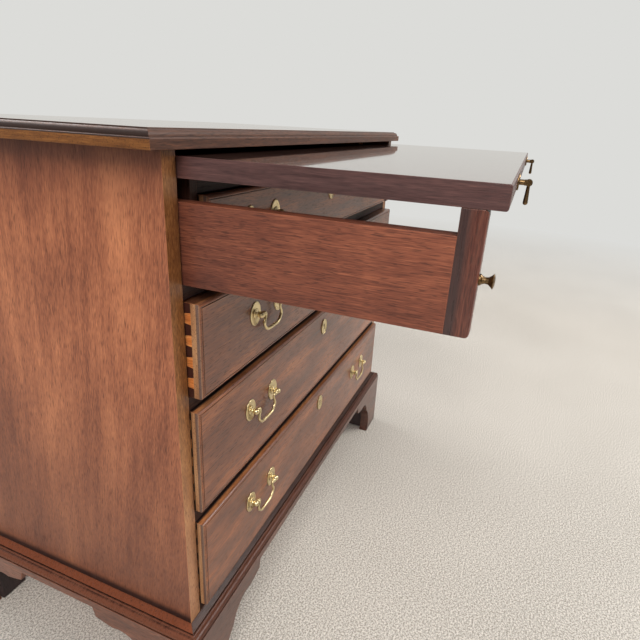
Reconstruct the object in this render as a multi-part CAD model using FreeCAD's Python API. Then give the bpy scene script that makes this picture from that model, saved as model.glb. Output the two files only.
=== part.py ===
import FreeCAD, Part

import math
import os

from FreeCAD import Vector

# Bachelor's chest: a moulded top, a pull-out slide, two lopers that carry the slide, and four
# graduated drawers on shaped bracket feet. Millimetres, +Z up, X across the chest, -Y to its front.
# The sizes below are set from the middle of the case, its front plane (Y = 0) and the floor; the
# finished pieces are then moved along Y so that the origin lies under the middle of the whole part.

# ---- case ----
CASE_W = 800.0
CASE_D = 440.0
SIDE_T = 20.0
RAIL_T = 17.0
RAIL_D = 60.0
BACK_T = 6.0
BACK_REBATE = 9.0           # width of the rebate that takes the back
BOTTOM_T = 12.0
FOOT_CLEAR = 127.0          # floor to the underside of the case and of the apron
BASE_RAIL_H = 38.6
PARTITION_T = 11.5
PARTITION_GAP = 0.6         # between a loper and its partition
RUNNER_W = 40.0
LOPER_RUNNER_W = 74.0       # wider boards, under the lopers and the partitions
TENON_L = 6.0
TENON_SETBACK = 12.0

# ---- top ----
TOP_T = 17.8
TOP_SIDE_OVERHANG = 25.0
TOP_FRONT_OVERHANG = 10.1
TOP_BACK_OVERHANG = 8.0
FASCIA_H = 8.6              # plain lower member of the moulded edge
FASCIA_ROUND = 1.6
TOP_QUIRK = 3.2             # width of the step above the lower member
TOP_STEP_H = 1.2
OVOLO_W = 6.4
OVOLO_H = 5.2
CLEAT_GAP = 0.4             # over the slide
CLEAT_W = 30.0

# ---- slide ----
SLIDE_T = 19.8
SLIDE_HEADROOM = 6.2
SLIDE_GAP = 0.3             # under the slide, where it runs
SLIDE_SIDE_GAP = 1.0
SLIDE_REAR_GAP = 15.6       # from the back panel to the slide when it is in
SLIDE_EDGE_R = 2.2
BATTEN_H = 14.0
BATTEN_T = 15.0
BATTEN_SETBACK = 60.6       # from the slide's back edge to its batten
STOP_GAP = 0.3              # left between a stop and what it stops

# ---- slide pulls ----
PULL_X = 230.0
PULL_PLATE_R = 8.2
PULL_PLATE_T = 1.6
PULL_POST_R = 2.7
PULL_REACH = 10.4           # slide front to the drop's pin
KNUCKLE_R = 3.4
KNUCKLE_NECK = 0.6          # post left between the knuckle and the plate side
EAR_T = 1.6
EYE_R = 3.0
EYE_T = 2.8
EYE_GAP = 0.3
DROP_PIN_R = 1.0
DROP_PIN_GAP = 0.06
DROP_L = 21.5
DROP_NECK_R = 1.4
DROP_END_R = 2.4

# ---- lopers ----
LOPER_T = 18.0
LOPER_SIDE_GAP = 1.0        # between a loper and the side panel
LOPER_HEADROOM = 6.1        # from a bar up to the block that stops its peg
LOPER_GAP = 0.3
LOPER_REAR_GAP = 24.6       # from the back panel to a loper that is in
LOPER_FRONT_T = 21.0
TONGUE_L = 6.0
TONGUE_T = 6.0
PEG_R = 4.0
PEG_H = 9.0
PEG_SETBACK = 60.6          # from a bar's back end to the middle of its peg
PEG_STOP_T = 15.0
PEG_STOP_H = 15.0
PEG_STOP_GAP = 1.0          # from the slide down to the block that stops the peg
KNOB_UP = 48.6              # knob above the loper's underside
KNOB_L = 12.5
KNOB_BASE_R = 4.8
KNOB_NECK_R = 2.6
KNOB_HEAD_R = 6.2

# ---- drawers ----
FRONT_PROUD = 11.6          # drawer faces stand this far in front of the case
FRONT_T = 20.0
FRONT_GAP = 1.2
EDGE_R = 3.5                # rounded edge round each front
QUIRK_IN = 3.7              # from a front's edge to its scratched line
QUIRK_W = 1.1
QUIRK_DEPTH = 1.4
TOP_FRONT_H = 85.2
UPPER_FRONT_H = 110.9
MIDDLE_FRONT_H = 140.2
LOWER_FRONT_H = 137.0
UPPER_AJAR = 7.1            # how far the upper drawer stands open at rest
BOX_SIDE_T = 11.0
BOX_BACK_T = 11.0
BOX_BOTTOM_T = 6.0
BOX_SIDE_DROP = 5.0         # side tops lie this far below the front's top
BOX_RUN_GAP = 0.3
BOX_REAR_GAP = 30.6         # from the back panel to a shut drawer
BOTTOM_UP = 9.0             # bottom panel above the sides' lower edge
GROOVE = 5.0
TAIL_LAP = 11.4             # wood left in front of the dovetails
TAIL_W = 13.0
TAIL_PITCH = 25.1
TAIL_SLOPE = 7.0            # dovetail length over its flare
STOP_X = 150.0
STOP_W = 30.0
STOP_L = 12.0
STOP_H = 6.0

# ---- bail handles ----
HANDLE_X = 231.3            # middle of a handle from the middle of the chest
POST_SPREAD = 63.6
ROSETTE_W = 25.0
ROSETTE_H = 32.0
ROSETTE_T = 1.6
DOME_H = 1.4
DOME_R = 7.1
DOME_TOP_R = 3.8
POST_REACH = 8.9            # drawer face to the bail's pivot
POST_R = 2.6
POST_ROOT_R = 3.4
POST_BALL_R = 4.3
SHANK_R = 2.0
NUT_W = 8.4
NUT_T = 3.5
BAIL_R = 1.95
BAIL_PIN_R = 1.5
BAIL_PIN_GAP = 0.06
BAIL_END_GAP = 0.7          # between a post's ball and the bail's thick end
BAIL_NECK_X = 19.4
BAIL_NECK_DROP = 5.0
BAIL_BELLY_X = 25.5
BAIL_BELLY_DROP = 14.5
BAIL_FLAT_X = 15.5
BAIL_DROP = 25.6
BAIL_BEND = 0.42            # share of the shorter run that a bend takes up

# ---- escutcheons and locks ----
PLATE_W = 22.0
PLATE_H = 29.0
PLATE_T = 1.4
KEYHOLE_R = 2.4
SLOT_W = 2.6
SLOT_L = 8.5
PLATE_UP = 30.5             # escutcheon above the rosettes on the two deepest drawers
PLATE_UP_HIGH = 12.0        # the same on the two shallower drawers
LOCK_W = 50.0
LOCK_H = 28.0
LOCK_T = 9.0

# ---- rosettes, measured down from the top edge of each front ----
TOP_ROSETTE_DOWN = 35.0
UPPER_ROSETTE_DOWN = 47.4
MIDDLE_ROSETTE_DOWN = 58.9
LOWER_ROSETTE_DOWN = 56.1

# ---- base ----
MOULD_UP = 25.6             # top of the base moulding above the case's underside
MOULD_H = 14.6
MOULD_PROUD = 19.6
MOULD_BAND = 8.8            # sloping band next to the case
BAND_FALL = 4.8
BEAD_R = 1.4
MOULD_QUIRK = 0.8
MOULD_OVOLO_H = 5.4
SHADOW_IN = 1.6             # the moulding's lowest edge stands back by this much
SHADOW_H = 1.2
PLINTH_T = 20.8
FOOT_SPAN = 151.6           # case corner to the end of a foot, along the board
FOOT_STEP = 16.5
FOOT_STEP_RUN = 3.9
BOW_OUT = 118.0             # from the step to the knee: end of the first curve
BOW_DROP = 6.6
KNEE_OUT = 82.0
KNEE_DROP = 13.8
CUSP_OUT = 70.5             # the cusp under the knee
CUSP_DROP = 33.0
CUSP_STEP = 9.5
FOOT_ANKLE = 42.0           # case corner to the narrowest part of a foot
ANKLE_UP = 16.0
FOOT_TOE = 50.7
BOW_SAG = 0.6               # how much of the bow's drop its first half takes
HOLLOW_IN = 0.25            # how near the ankle the foot's hollow keeps, and
HOLLOW_UP = 0.54            # how far up, as shares of its width and height
BLOCK_W = 40.0
BLOCK_LIFT = 3.0
REAR_BRACKET_L = 90.0
REAR_BRACKET_T = 16.0
REAR_BRACKET_EDGE = 38.0    # depth of a rear bracket at its inner end

# ---- places that follow from the sizes above ----
HALF_W = CASE_W / 2
INNER_X = HALF_W - SIDE_T
LOPER_OUTER_X = INNER_X - LOPER_SIDE_GAP
LOPER_INNER_X = LOPER_OUTER_X - LOPER_T
PARTITION_X = LOPER_INNER_X - PARTITION_GAP
TOP_ROW_X = PARTITION_X - PARTITION_T

LOWER_Z = FOOT_CLEAR + BASE_RAIL_H
MIDDLE_Z = LOWER_Z + LOWER_FRONT_H + 2 * FRONT_GAP + RAIL_T
UPPER_Z = MIDDLE_Z + MIDDLE_FRONT_H + 2 * FRONT_GAP + RAIL_T
TOP_ROW_Z = UPPER_Z + UPPER_FRONT_H + 2 * FRONT_GAP + RAIL_T
SLIDE_RAIL_Z = TOP_ROW_Z + TOP_FRONT_H + 2 * FRONT_GAP
SLIDE_Z = SLIDE_RAIL_Z + RAIL_T + SLIDE_GAP
PEG_STOP_Z = SLIDE_Z - PEG_STOP_GAP - PEG_STOP_H
LOPER_H = PEG_STOP_Z - LOPER_HEADROOM - TOP_ROW_Z - LOPER_GAP
CASE_TOP_Z = SLIDE_Z + SLIDE_T + SLIDE_HEADROOM
MOULD_TOP_Z = FOOT_CLEAR + MOULD_UP
PLINTH_TOP_Z = MOULD_TOP_Z - MOULD_H

INSIDE_Y = CASE_D - BACK_T
BOX_L = INSIDE_Y - BOX_REAR_GAP + FRONT_PROUD - FRONT_T
LOPER_BAR_L = INSIDE_Y - LOPER_REAR_GAP + FRONT_PROUD - LOPER_FRONT_T
PEG_Y = RAIL_D + PEG_STOP_T + STOP_GAP + PEG_R          # where the peg of an open loper stops
LOPER_OUT = LOPER_BAR_L + LOPER_FRONT_T - (FRONT_PROUD + PEG_SETBACK + PEG_Y)
SLIDE_L = INSIDE_Y - SLIDE_REAR_GAP + FRONT_PROUD
BATTEN_Y = RAIL_D + STOP_GAP                            # where the batten of the open slide stops
SLIDE_OUT = SLIDE_L - (FRONT_PROUD + BATTEN_SETBACK + BATTEN_T + BATTEN_Y)
SLIDE_FRONT_Y = -FRONT_PROUD - SLIDE_OUT
FRONT_REACH = PULL_REACH + KNUCKLE_R - SLIDE_FRONT_Y
BACK_REACH = CASE_D + TOP_BACK_OVERHANG
Y_SHIFT = (FRONT_REACH - BACK_REACH) / 2

X_AXIS = Vector(1, 0, 0)
Y_AXIS = Vector(0, 1, 0)
Z_AXIS = Vector(0, 0, 1)
DIAGONAL = math.sqrt(0.5)

NODES = {}


# ---- helpers ----
def box(x0, x1, y0, y1, z0, z1):
    """A block between two corners, given in either order along X."""
    return Part.makeBox(abs(x1 - x0), y1 - y0, z1 - z0, Vector(min(x0, x1), y0, z0))


def rod(start, axis, radius, length):
    return Part.makeCylinder(radius, length, start, axis)


def prism(points, direction):
    """The closed polygon through points, extruded along direction."""
    wire = Part.makePolygon(points + [points[0]])
    return Part.Face(wire).extrude(direction)


def outline(steps):
    """Face inside a run of steps: a point ends a straight edge, a pair (via, end) is an arc."""
    edges = []
    here = steps[0]
    for step in steps[1:] + [steps[0]]:
        if isinstance(step, tuple):
            via, end = step
            edges.append(Part.Arc(here, via, end).toShape())
            here = end
        else:
            edges.append(Part.LineSegment(here, step).toShape())
            here = step
    return Part.Face(Part.Wire(edges))


def reversed_steps(steps):
    """The same run of edges, drawn from its far end."""
    ends = [step[1] if isinstance(step, tuple) else step for step in steps]
    back = [ends[-1]]
    for step, before in zip(reversed(steps), reversed(ends[:-1])):
        back.append((step[0], before) if isinstance(step, tuple) else before)
    return back


def turned(profile, centre):
    """Turn (radius, height) pairs about an axis that stands forward from centre."""
    points = [Vector(radius, -height, 0) for radius, height in profile]
    face = Part.Face(Part.makePolygon(points + [points[0]]))
    solid = face.revolve(Vector(0, 0, 0), Y_AXIS, 360)
    solid.translate(centre)
    return solid


def mirrored(shape):
    """The same shape on the other side of the chest."""
    return shape.mirror(Vector(0, 0, 0), X_AXIS)


def oval_plate(width, height, thickness, centre):
    """Upright oval plate that stands forward from centre."""
    ellipse = Part.Ellipse(centre + Z_AXIS * (height / 2), centre + X_AXIS * (width / 2), centre)
    return Part.Face(Part.Wire(ellipse.toShape())).extrude(Y_AXIS * -thickness)


def moulded_front(x0, x1, z0, z1, face_y, thickness):
    """Board with rounded front edges and a scratched line just inside them."""
    low, high = min(x0, x1), max(x0, x1)
    board = box(low, high, face_y, face_y + thickness, z0, z1)
    front_edges = [edge for edge in board.Edges if edge.BoundBox.YMax < face_y + QUIRK_DEPTH]
    board = board.makeFillet(EDGE_R, front_edges)
    back_y = face_y + QUIRK_DEPTH
    outer = QUIRK_IN
    inner = QUIRK_IN + QUIRK_W
    line = box(low + outer, high - outer, face_y, back_y, z0 + outer, z1 - outer)
    field = box(low + inner, high - inner, face_y, back_y, z0 + inner, z1 - inner)
    return board.cut(line.cut(field))


def add(name, *shapes):
    """Keep the shapes as one node: a single solid, or a group of separate ones."""
    NODES[name] = Part.makeCompound([solid for shape in shapes for solid in shape.Solids])


# ---- case ----
def tenon(bottom, height):
    """Stub tenon on the right end of a rail that runs from side to side."""
    shoulder = height / 4
    return box(INNER_X, INNER_X + TENON_L, TENON_SETBACK, RAIL_D - TENON_SETBACK,
               bottom + shoulder, bottom + height - shoulder)


def wide_rail(bottom, height):
    """Rail from side panel to side panel, with its stub tenons."""
    rail = box(-INNER_X, INNER_X, 0, RAIL_D, bottom, bottom + height)
    right = tenon(bottom, height)
    return rail.fuse([right, mirrored(right)]).removeSplitter()


def side_panel(rails):
    """Right side panel, with a rebate for the back and a mortise for each rail."""
    panel = box(INNER_X, HALF_W, 0, CASE_D, FOOT_CLEAR, CASE_TOP_Z)
    rebate = box(INNER_X, INNER_X + BACK_REBATE, INSIDE_Y, CASE_D, FOOT_CLEAR, CASE_TOP_Z)
    return panel.cut([rebate] + [tenon(bottom, height) for bottom, height in rails])


def runners():
    """Boards that carry the drawers and lopers behind the rails, and two strips under the top
    that keep the slide from tipping."""
    right = []
    for level, width in ((MIDDLE_Z, RUNNER_W), (UPPER_Z, RUNNER_W), (TOP_ROW_Z, LOPER_RUNNER_W)):
        right.append(box(INNER_X - width, INNER_X, RAIL_D, INSIDE_Y, level - RAIL_T, level))
    strip_z = SLIDE_Z + SLIDE_T + CLEAT_GAP
    right.append(box(INNER_X - CLEAT_W, INNER_X, RAIL_D, INSIDE_Y, strip_z, CASE_TOP_Z))
    return right + [mirrored(shape) for shape in right]


def stops():
    """Blocks on the rails behind the drawer fronts, and blocks over the lopers for their pegs."""
    blocks = []
    front = FRONT_T - FRONT_PROUD + STOP_GAP
    for level in (LOWER_Z, MIDDLE_Z, UPPER_Z, TOP_ROW_Z):
        block = box(STOP_X - STOP_W / 2, STOP_X + STOP_W / 2, front, front + STOP_L, level, level + STOP_H)
        blocks += [block, mirrored(block)]
    block = box(PARTITION_X, INNER_X, RAIL_D, RAIL_D + PEG_STOP_T, PEG_STOP_Z, PEG_STOP_Z + PEG_STOP_H)
    return blocks + [block, mirrored(block)]


def top_edge(reach, start, out):
    """Moulded edge of the top, from its bottom to its top: reach is its distance along out."""
    def at(distance, height):
        return start + out * distance + Z_AXIS * (CASE_TOP_Z + height)

    shoulder = FASCIA_H + FASCIA_ROUND
    step_in = reach - TOP_QUIRK
    step_top = shoulder + TOP_STEP_H
    corner = 1 - DIAGONAL
    return [
        at(reach, 0),
        at(reach, FASCIA_H),
        (at(reach - FASCIA_ROUND * corner, FASCIA_H + FASCIA_ROUND * DIAGONAL),
         at(reach - FASCIA_ROUND, shoulder)),
        at(step_in, shoulder),
        at(step_in, step_top),
        (at(step_in - OVOLO_W * corner, step_top + OVOLO_H * DIAGONAL),
         at(step_in - OVOLO_W, step_top + OVOLO_H)),
        at(step_in - OVOLO_W, TOP_T),
    ]


def top_board():
    """Top with one moulded edge along its front and both ends, mitred at the corners."""
    reach_x = HALF_W + TOP_SIDE_OVERHANG
    left_end = X_AXIS * -reach_x
    back = left_end + Y_AXIS * BACK_REACH + Z_AXIS * CASE_TOP_Z
    front_section = outline(top_edge(TOP_FRONT_OVERHANG, left_end, -Y_AXIS) + [back + Z_AXIS * TOP_T, back])
    front_run = front_section.extrude(X_AXIS * (2 * reach_x))
    front_y = Y_AXIS * -TOP_FRONT_OVERHANG
    left = top_edge(reach_x, front_y, -X_AXIS)
    right = reversed_steps(top_edge(reach_x, front_y, X_AXIS))
    across = outline(left + right).extrude(Y_AXIS * (BACK_REACH + TOP_FRONT_OVERHANG))
    return front_run.common(across)


def make_case():
    rails = {
        "base_rail": (FOOT_CLEAR, BASE_RAIL_H),
        "lower_rail": (MIDDLE_Z - RAIL_T, RAIL_T),
        "middle_rail": (UPPER_Z - RAIL_T, RAIL_T),
        "upper_rail": (TOP_ROW_Z - RAIL_T, RAIL_T),
    }
    for name, (bottom, height) in rails.items():
        add(name, wide_rail(bottom, height))
    right_side = side_panel(rails.values())
    add("side_panel_right", right_side)
    add("side_panel_left", mirrored(right_side))
    back_x = INNER_X + BACK_REBATE
    add("back_panel", box(-back_x, back_x, INSIDE_Y, CASE_D, FOOT_CLEAR, CASE_TOP_Z))
    add("bottom_board", box(-INNER_X, INNER_X, RAIL_D, INSIDE_Y, LOWER_Z - BOTTOM_T, LOWER_Z))
    add("slide_rail", box(-TOP_ROW_X, TOP_ROW_X, 0, RAIL_D, SLIDE_RAIL_Z, SLIDE_RAIL_Z + RAIL_T))
    partition = box(TOP_ROW_X, PARTITION_X, 0, INSIDE_Y, TOP_ROW_Z, SLIDE_RAIL_Z + RAIL_T)
    add("partitions", partition, mirrored(partition))
    add("runners", *runners())
    add("stops", *stops())
    add("top_board", top_board())


# ---- base ----
def mitre_zone(reach):
    """Upright prism over everything that lies before the two corner mitres."""
    depth = reach + HALF_W
    corners = [Vector(0, HALF_W, 0), Vector(-depth, -reach, 0), Vector(depth, -reach, 0)]
    return prism(corners, Z_AXIS * CASE_TOP_Z)


def mould_section(start, out):
    """Section of the base moulding where it starts, standing out from the case along out."""
    def at(distance, height):
        return start + out * distance + Z_AXIS * (MOULD_TOP_Z + height)

    bead_start = MOULD_BAND + MOULD_QUIRK
    bead_end = bead_start + 2 * BEAD_R
    ovolo_start = bead_end + MOULD_QUIRK
    ovolo_w = MOULD_PROUD - ovolo_start
    quirk_z = -BAND_FALL - BEAD_R
    ovolo_z = quirk_z - MOULD_OVOLO_H
    return outline([
        at(0, 0),
        at(MOULD_BAND, -BAND_FALL),
        at(MOULD_BAND, quirk_z),
        at(bead_start, quirk_z),
        (at(bead_start + BEAD_R, quirk_z + BEAD_R), at(bead_end, quirk_z)),
        at(ovolo_start, quirk_z),
        (at(ovolo_start + ovolo_w * DIAGONAL, ovolo_z + MOULD_OVOLO_H * DIAGONAL), at(MOULD_PROUD, ovolo_z)),
        at(MOULD_PROUD, SHADOW_H - MOULD_H),
        at(MOULD_PROUD - SHADOW_IN, SHADOW_H - MOULD_H),
        at(MOULD_PROUD - SHADOW_IN, -MOULD_H),
        at(0, -MOULD_H),
    ])


def make_base_moulding():
    zone = mitre_zone(2 * MOULD_PROUD)
    reach_x = HALF_W + MOULD_PROUD
    front = mould_section(X_AXIS * -reach_x, -Y_AXIS).extrude(X_AXIS * (2 * reach_x)).common(zone)
    side_start = X_AXIS * HALF_W - Y_AXIS * MOULD_PROUD
    right = mould_section(side_start, X_AXIS).extrude(Y_AXIS * (CASE_D + MOULD_PROUD)).cut(zone)
    add("base_moulding", front, right, mirrored(right))


def foot_curve(corner, inward):
    """Shaped edge of one foot from the apron down to the floor. corner is the case's corner at
    floor level and inward points along the board."""
    def at(distance, height):
        return corner + inward * distance + Z_AXIS * height

    shelf = FOOT_CLEAR - FOOT_STEP
    step_x = FOOT_SPAN - FOOT_STEP_RUN
    cusp_z = shelf - CUSP_DROP
    heel_x = CUSP_OUT - CUSP_STEP
    heel_z = cusp_z - CUSP_STEP
    return [
        at(FOOT_SPAN, FOOT_CLEAR),
        at(step_x, shelf),
        (at((step_x + BOW_OUT) / 2, shelf - BOW_DROP * BOW_SAG), at(BOW_OUT, shelf - BOW_DROP)),
        (at(KNEE_OUT, shelf - KNEE_DROP), at(CUSP_OUT, cusp_z)),
        at(heel_x, heel_z),
        (at(FOOT_ANKLE + (heel_x - FOOT_ANKLE) * HOLLOW_IN, (ANKLE_UP + heel_z) * HOLLOW_UP),
         at(FOOT_ANKLE, ANKLE_UP)),
        (at(FOOT_ANKLE + (FOOT_TOE - FOOT_ANKLE) * HOLLOW_IN, ANKLE_UP * (1 - HOLLOW_UP)), at(FOOT_TOE, 0)),
    ]


def plinth_board(corner, far_corner, outward):
    """Board on edge with a foot at each end and the apron between them."""
    inward = (far_corner - corner).normalize()
    top = Z_AXIS * PLINTH_TOP_Z
    near_end = corner - inward * PLINTH_T
    far_end = far_corner + inward * PLINTH_T
    far_foot = reversed_steps(foot_curve(far_corner, -inward))
    steps = [near_end, near_end + top, far_end + top, far_end] + far_foot + foot_curve(corner, inward)
    return outline(steps).extrude(outward * PLINTH_T)


def make_plinth():
    zone = mitre_zone(2 * PLINTH_T)
    left = Vector(-HALF_W, 0, 0)
    right = Vector(HALF_W, 0, 0)
    rear = Vector(HALF_W, CASE_D, 0)
    add("plinth_front", plinth_board(left, right, -Y_AXIS).common(zone))
    overrun = box(HALF_W, HALF_W + PLINTH_T, CASE_D, CASE_D + PLINTH_T, 0, PLINTH_TOP_Z)
    side = plinth_board(right, rear, X_AXIS).cut([zone, overrun])
    add("plinth_sides", side, mirrored(side))
    add("foot_blocks", *foot_blocks())


def foot_blocks():
    """Corner blocks inside the feet, and the plain brackets across the back feet."""
    inner = HALF_W - BLOCK_W
    bracket_y = CASE_D - REAR_BRACKET_T
    front = box(inner, HALF_W, 0, BLOCK_W, BLOCK_LIFT, FOOT_CLEAR)
    rear = box(inner, HALF_W, bracket_y - BLOCK_W, bracket_y, BLOCK_LIFT, FOOT_CLEAR)
    tip = HALF_W - REAR_BRACKET_L
    bracket = prism([
        Vector(HALF_W, bracket_y, 0),
        Vector(inner, bracket_y, 0),
        Vector(tip, bracket_y, FOOT_CLEAR - REAR_BRACKET_EDGE),
        Vector(tip, bracket_y, FOOT_CLEAR),
        Vector(HALF_W, bracket_y, FOOT_CLEAR),
    ], Y_AXIS * REAR_BRACKET_T)
    right = [front, rear, bracket]
    return right + [mirrored(shape) for shape in right]


# ---- slide ----
def make_slide():
    half = INNER_X - SLIDE_SIDE_GAP
    board = box(-half, half, SLIDE_FRONT_Y, SLIDE_FRONT_Y + SLIDE_L, SLIDE_Z, SLIDE_Z + SLIDE_T)
    front_edges = [edge for edge in board.Edges if edge.BoundBox.YMax < SLIDE_FRONT_Y + SLIDE_EDGE_R]
    add("slide_board", board.makeFillet(SLIDE_EDGE_R, front_edges))
    batten_x = TOP_ROW_X - SLIDE_SIDE_GAP
    add("slide_batten", box(-batten_x, batten_x, BATTEN_Y, BATTEN_Y + BATTEN_T, SLIDE_Z - BATTEN_H, SLIDE_Z))
    mounts = []
    for name, x in (("left", -PULL_X), ("right", PULL_X)):
        centre = Vector(x, SLIDE_FRONT_Y, SLIDE_Z + SLIDE_T / 2)
        mounts += pull_mount(centre)
        add("slide_drop_" + name, drop(centre))
    add("slide_pulls", *mounts)


def pull_mount(centre):
    """Back plate, post with two ears, and the pin through the ears."""
    bevel = PULL_PLATE_T / 2
    plate = turned([(0, 0), (PULL_PLATE_R, 0), (PULL_PLATE_R, bevel), (PULL_PLATE_R - bevel, PULL_PLATE_T),
                    (0, PULL_PLATE_T)], centre)
    pivot = centre - Y_AXIS * PULL_REACH
    half_slot = EYE_T / 2 + EYE_GAP
    half_w = half_slot + EAR_T
    post_l = PULL_REACH - PULL_PLATE_T - KNUCKLE_R - KNUCKLE_NECK
    post = rod(centre - Y_AXIS * PULL_PLATE_T, -Y_AXIS, PULL_POST_R, post_l)
    knuckle = rod(pivot - X_AXIS * half_w, X_AXIS, KNUCKLE_R, 2 * half_w)
    web = box(centre.x - half_w, centre.x + half_w, pivot.y, pivot.y + KNUCKLE_R + KNUCKLE_NECK,
              centre.z - PULL_POST_R, centre.z + PULL_POST_R)
    slot = box(centre.x - half_slot, centre.x + half_slot, pivot.y - KNUCKLE_R, pivot.y + EYE_R + EYE_GAP,
               centre.z - KNUCKLE_R, centre.z + KNUCKLE_R)
    pin = rod(pivot - X_AXIS * half_w, X_AXIS, DROP_PIN_R, 2 * half_w)
    return [plate, post.fuse([knuckle, web]).removeSplitter().cut([slot, pin]), pin]


def drop(centre):
    """Pendant that swings on the pin: an eye, a swelling stem and a rounded end."""
    pivot = centre - Y_AXIS * PULL_REACH
    eye = rod(pivot - X_AXIS * (EYE_T / 2), X_AXIS, EYE_R, EYE_T)
    stem_l = DROP_L - DROP_END_R
    stem = Part.makeCone(DROP_NECK_R, DROP_END_R, stem_l, pivot, -Z_AXIS)
    end = Part.makeSphere(DROP_END_R, pivot - Z_AXIS * stem_l)
    hole = rod(pivot - X_AXIS * EYE_T, X_AXIS, DROP_PIN_R + DROP_PIN_GAP, 2 * EYE_T)
    return eye.fuse([stem, end]).cut(hole)


# ---- lopers ----
def make_loper(name, side, out):
    """One loper that stands out by out: its bar with the stop peg, its front and its knob."""
    bottom = TOP_ROW_Z + LOPER_GAP
    bar_top = bottom + LOPER_H
    face_y = -FRONT_PROUD - out
    bar_y = face_y + LOPER_FRONT_T
    inner = side * LOPER_INNER_X
    outer = side * LOPER_OUTER_X
    middle = (inner + outer) / 2
    tongue = box(middle - TONGUE_T / 2, middle + TONGUE_T / 2, bar_y - TONGUE_L, bar_y,
                 bottom + TONGUE_T, bar_top - TONGUE_T)
    bar = box(inner, outer, bar_y, bar_y + LOPER_BAR_L, bottom, bar_top).fuse(tongue)
    peg = rod(Vector(middle, PEG_Y + LOPER_OUT - out, bar_top), Z_AXIS, PEG_R, PEG_H)
    front = moulded_front(inner, outer, bottom, SLIDE_Z - LOPER_GAP, face_y, LOPER_FRONT_T)
    add("loper_bar_" + name, bar, peg)
    add("loper_front_" + name, front.cut(tongue))
    add("loper_knob_" + name, knob(Vector(middle, face_y, bottom + KNOB_UP)))


def knob(centre):
    """Turned knob: a small base, a waist and a flared head."""
    shape = [
        (0, 0),
        (KNOB_BASE_R, 0),
        (KNOB_BASE_R, 0.1),
        (KNOB_NECK_R * 1.3, 0.22),
        (KNOB_NECK_R, 0.42),
        (KNOB_NECK_R * 1.2, 0.6),
        (KNOB_HEAD_R * 0.75, 0.76),
        (KNOB_HEAD_R, 0.86),
        (KNOB_HEAD_R * 0.95, 0.92),
        (KNOB_HEAD_R * 0.6, 0.98),
        (0, 1),
    ]
    return turned([(radius, share * KNOB_L) for radius, share in shape], centre)


# ---- drawers ----
def tails(half, end_y, top, height):
    """Dovetails on the end of the right drawer side, widest at their tips and set from its top."""
    length = FRONT_T - TAIL_LAP
    inside = half - BOX_SIDE_T
    shapes = []
    for index in range(max(2, int(height / TAIL_PITCH))):
        middle = top - TAIL_PITCH * (index + 0.5)
        tip = TAIL_W / 2
        root = tip - length / TAIL_SLOPE
        corners = [(end_y, -tip), (end_y, tip), (end_y + length, root), (end_y + length, -root)]
        shapes.append(prism([Vector(inside, y, middle + z) for y, z in corners], X_AXIS * BOX_SIDE_T))
    return shapes


def make_drawer(name, half, level, front_h, out, rosette_down, plate_up):
    """One drawer that stands out by out: front, sides, back, bottom, lock, posts and two bails."""
    face_y = -FRONT_PROUD - out
    rear_y = face_y + FRONT_T
    back_y = rear_y + BOX_L
    front_z = level + FRONT_GAP
    front_top = front_z + front_h
    side_z = level + BOX_RUN_GAP
    side_top = front_top - BOX_SIDE_DROP
    panel_z = side_z + BOTTOM_UP
    inside = half - BOX_SIDE_T

    panel_x = inside + GROOVE
    panel = box(-panel_x, panel_x, rear_y - GROOVE, back_y, panel_z, panel_z + BOX_BOTTOM_T)
    joint = tails(half, face_y + TAIL_LAP, side_top, side_top - front_z)
    side = box(inside, half, rear_y, back_y, side_z, side_top).fuse(joint).cut(panel)
    back = box(-inside, inside, back_y - BOX_BACK_T, back_y, panel_z + BOX_BOTTOM_T, side_top)

    rosette_z = front_top - rosette_down
    posts = []
    holes = []
    for word, x in (("left", -HANDLE_X), ("right", HANDLE_X)):
        centre = Vector(x, face_y, rosette_z)
        for end in (-POST_SPREAD / 2, POST_SPREAD / 2):
            post_at = centre + X_AXIS * end
            posts += pull_post(post_at)
            holes.append(rod(post_at, Y_AXIS, SHANK_R, FRONT_T))
        add(name + "_bail_" + word, bail(centre))
    lock_at = Vector(0, face_y, rosette_z + plate_up)
    holes.append(keyhole(lock_at, FRONT_T))

    front = moulded_front(-half, half, front_z, front_top, face_y, FRONT_T)
    front = front.cut(joint + [mirrored(shape) for shape in joint] + [panel] + holes)
    add(name + "_front", front)
    add(name + "_sides", side, mirrored(side))
    add(name + "_back", back)
    add(name + "_bottom", panel)
    add(name + "_posts", *posts)
    add(name + "_lock", *lock(lock_at))


def pull_post(centre):
    """Oval rosette, the post through it that ends in a pierced ball, and the nut behind."""
    root = ROSETTE_T + DOME_H
    dome = turned([(0, ROSETTE_T), (DOME_R, ROSETTE_T), (DOME_TOP_R, root), (0, root)], centre)
    shank = rod(centre + Y_AXIS * (FRONT_T + NUT_T), -Y_AXIS, SHANK_R, FRONT_T + NUT_T + root)
    rosette = oval_plate(ROSETTE_W, ROSETTE_H, ROSETTE_T, centre).fuse(dome).cut(shank)
    stem = Part.makeCone(POST_ROOT_R, POST_R, POST_REACH - root, centre - Y_AXIS * root, -Y_AXIS)
    pivot = centre - Y_AXIS * POST_REACH
    ball = Part.makeSphere(POST_BALL_R, pivot)
    hole = rod(pivot - X_AXIS * (2 * POST_BALL_R), X_AXIS, BAIL_PIN_R + BAIL_PIN_GAP, 4 * POST_BALL_R)
    post = shank.fuse([stem, ball]).removeSplitter().cut(hole)
    half_nut = NUT_W / 2
    nut = box(centre.x - half_nut, centre.x + half_nut, centre.y + FRONT_T, centre.y + FRONT_T + NUT_T,
              centre.z - half_nut, centre.z + half_nut)
    return [rosette, post, nut.cut(shank)]


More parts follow.
